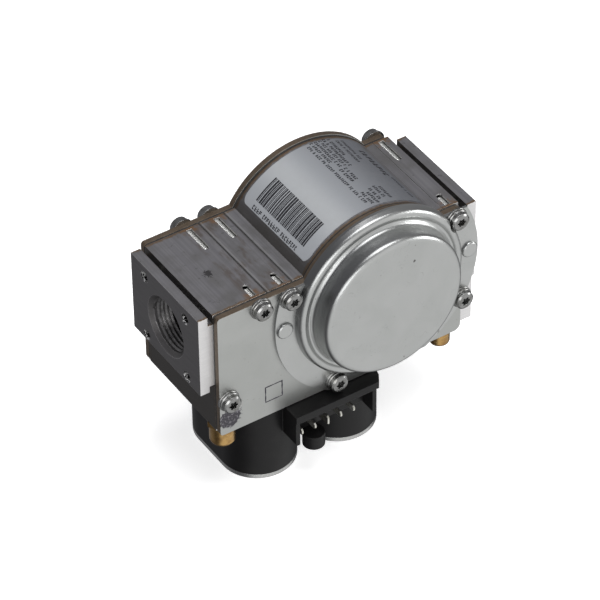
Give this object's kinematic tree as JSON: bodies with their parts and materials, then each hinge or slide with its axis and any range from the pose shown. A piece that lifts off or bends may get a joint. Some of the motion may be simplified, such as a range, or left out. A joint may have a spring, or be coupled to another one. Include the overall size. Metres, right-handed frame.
{
  "type": "gas valve",
  "caption": "Flanged gas control valve: extruded aluminium body with cover plates, round diaphragm dome, solenoid unit below with plug socket, brass test nipples.",
  "frame": {"origin": "centre of the inlet bore on the inlet flange face", "axes": "+X along the gas flow from inlet to outlet, +Y to the back cover, +Z away from the solenoid unit"},
  "size_m": [0.1343, 0.0763, 0.1221],
  "materials": {
    "body_aluminium": "sawn and extruded aluminium",
    "plate_zinc": "zinc plated steel sheet",
    "dome_zinc": "deep drawn, zinc plated steel sheet",
    "gasket_rubber": "matt",
    "screw_zinc": "zinc plated",
    "label_film": "satin silver film",
    "black_moulding": "satin moulded",
    "strainer_plastic": "moulded",
    "strainer_weave": "woven wire",
    "blade_tin": "tin plated",
    "nipple_brass": "turned",
    "winding_copper": "enamelled copper wire",
    "bobbin_plastic": "moulded",
    "core_steel": "turned",
    "plate_steel": "punched, zinc plated",
    "tube_steel": "drawn stainless steel",
    "seal_rubber": "nitrile",
    "turned_aluminium": "turned",
    "spring_steel": "wire"
  },
  "bodies": {
    "valve": {"valve_body": "body_aluminium", "front_gasket": "gasket_rubber", "back_gasket": "gasket_rubber", "front_cover_plate": "plate_zinc", "back_cover_plate": "plate_zinc", "front_cover_screws": "screw_zinc", "back_cover_screws": "screw_zinc", "front_screw_washers": "screw_zinc", "back_screw_washers": "screw_zinc", "type_label": "label_film", "diaphragm_dome": "dome_zinc", "regulator_diaphragm": "seal_rubber", "regulator_stem_bush": "nipple_brass", "regulator_seat_plate": "turned_aluminium", "regulator_spring": "spring_steel", "solenoid_mounting_plate": "plate_steel", "solenoid_mounting_screws": "screw_zinc", "coil_housing": "black_moulding", "coil_fixing_screws": "screw_zinc", "line_blades": "blade_tin", "earth_blade": "blade_tin", "strainer_frame": "strainer_plastic", "strainer_mesh": "strainer_weave", "valve_1_spring": "spring_steel", "valve_1_guide_tube": "tube_steel", "valve_1_tube_seal": "seal_rubber", "valve_1_fixed_core": "core_steel", "coil_1_bobbin": "bobbin_plastic", "coil_1_winding": "winding_copper", "coil_1_end_plate": "plate_steel", "valve_2_spring": "spring_steel", "valve_2_guide_tube": "tube_steel", "valve_2_tube_seal": "seal_rubber", "valve_2_fixed_core": "core_steel", "coil_2_bobbin": "bobbin_plastic", "coil_2_winding": "winding_copper", "coil_2_end_plate": "plate_steel", "inlet_test_nipple": "nipple_brass", "outlet_test_nipple": "nipple_brass"},
    "regulator": {"regulator_stem": "core_steel", "regulator_stem_nut": "screw_zinc", "regulator_valve_seal": "seal_rubber", "regulator_valve_disc": "turned_aluminium", "diaphragm_back_disc": "plate_steel", "diaphragm_front_disc": "plate_steel"},
    "safety_valve_1": {"valve_1_seal": "seal_rubber", "valve_1_disc": "core_steel", "valve_1_armature": "core_steel"},
    "safety_valve_2": {"valve_2_seal": "seal_rubber", "valve_2_disc": "core_steel", "valve_2_armature": "core_steel"},
    "inlet_sealing_ball": {"inlet_nipple_ball": "core_steel"},
    "inlet_sealing_screw": {"inlet_nipple_screw": "nipple_brass"},
    "outlet_sealing_ball": {"outlet_nipple_ball": "core_steel"},
    "outlet_sealing_screw": {"outlet_nipple_screw": "nipple_brass"}
  },
  "joints": [
    {"name": "regulator_lift", "type": "slide", "parent": "valve", "child": "regulator", "axis": [0, 1, 0], "range_m": [-0.00215, 0.0008], "stiffness_N_per_m": 300, "deforming": ["regulator_diaphragm", "regulator_spring"]},
    {"name": "valve_1_lift", "type": "slide", "parent": "valve", "child": "safety_valve_1", "axis": [0, 0, -1], "range_m": [0, 0.004], "stiffness_N_per_m": 400, "springref_m": -0.01, "deforming": ["valve_1_spring"]},
    {"name": "valve_2_lift", "type": "slide", "parent": "valve", "child": "safety_valve_2", "axis": [0, 0, -1], "range_m": [0, 0.004], "stiffness_N_per_m": 400, "springref_m": -0.01, "deforming": ["valve_2_spring"]},
    {"name": "inlet_ball_travel", "type": "slide", "parent": "valve", "child": "inlet_sealing_ball", "axis": [0, 0, -1], "range_m": [0, 0.0016]},
    {"name": "inlet_screw_turn", "type": "hinge", "parent": "inlet_sealing_ball", "child": "inlet_sealing_screw", "pos_m": [0.0133, -0.0196, -0.0518], "axis": [0, 0, -1], "range_deg": [0, 720]},
    {"name": "outlet_ball_travel", "type": "slide", "parent": "valve", "child": "outlet_sealing_ball", "axis": [0, 0, -1], "range_m": [0, 0.0016]},
    {"name": "outlet_screw_turn", "type": "hinge", "parent": "outlet_sealing_ball", "child": "outlet_sealing_screw", "pos_m": [0.1213, -0.0196, -0.0518], "axis": [0, 0, -1], "range_deg": [0, 720]}
  ],
  "couplings": [
    {"joint": "inlet_screw_turn", "follows": "inlet_ball_travel", "rad_per_m": 7854},
    {"joint": "outlet_screw_turn", "follows": "outlet_ball_travel", "rad_per_m": 7854}
  ]
}
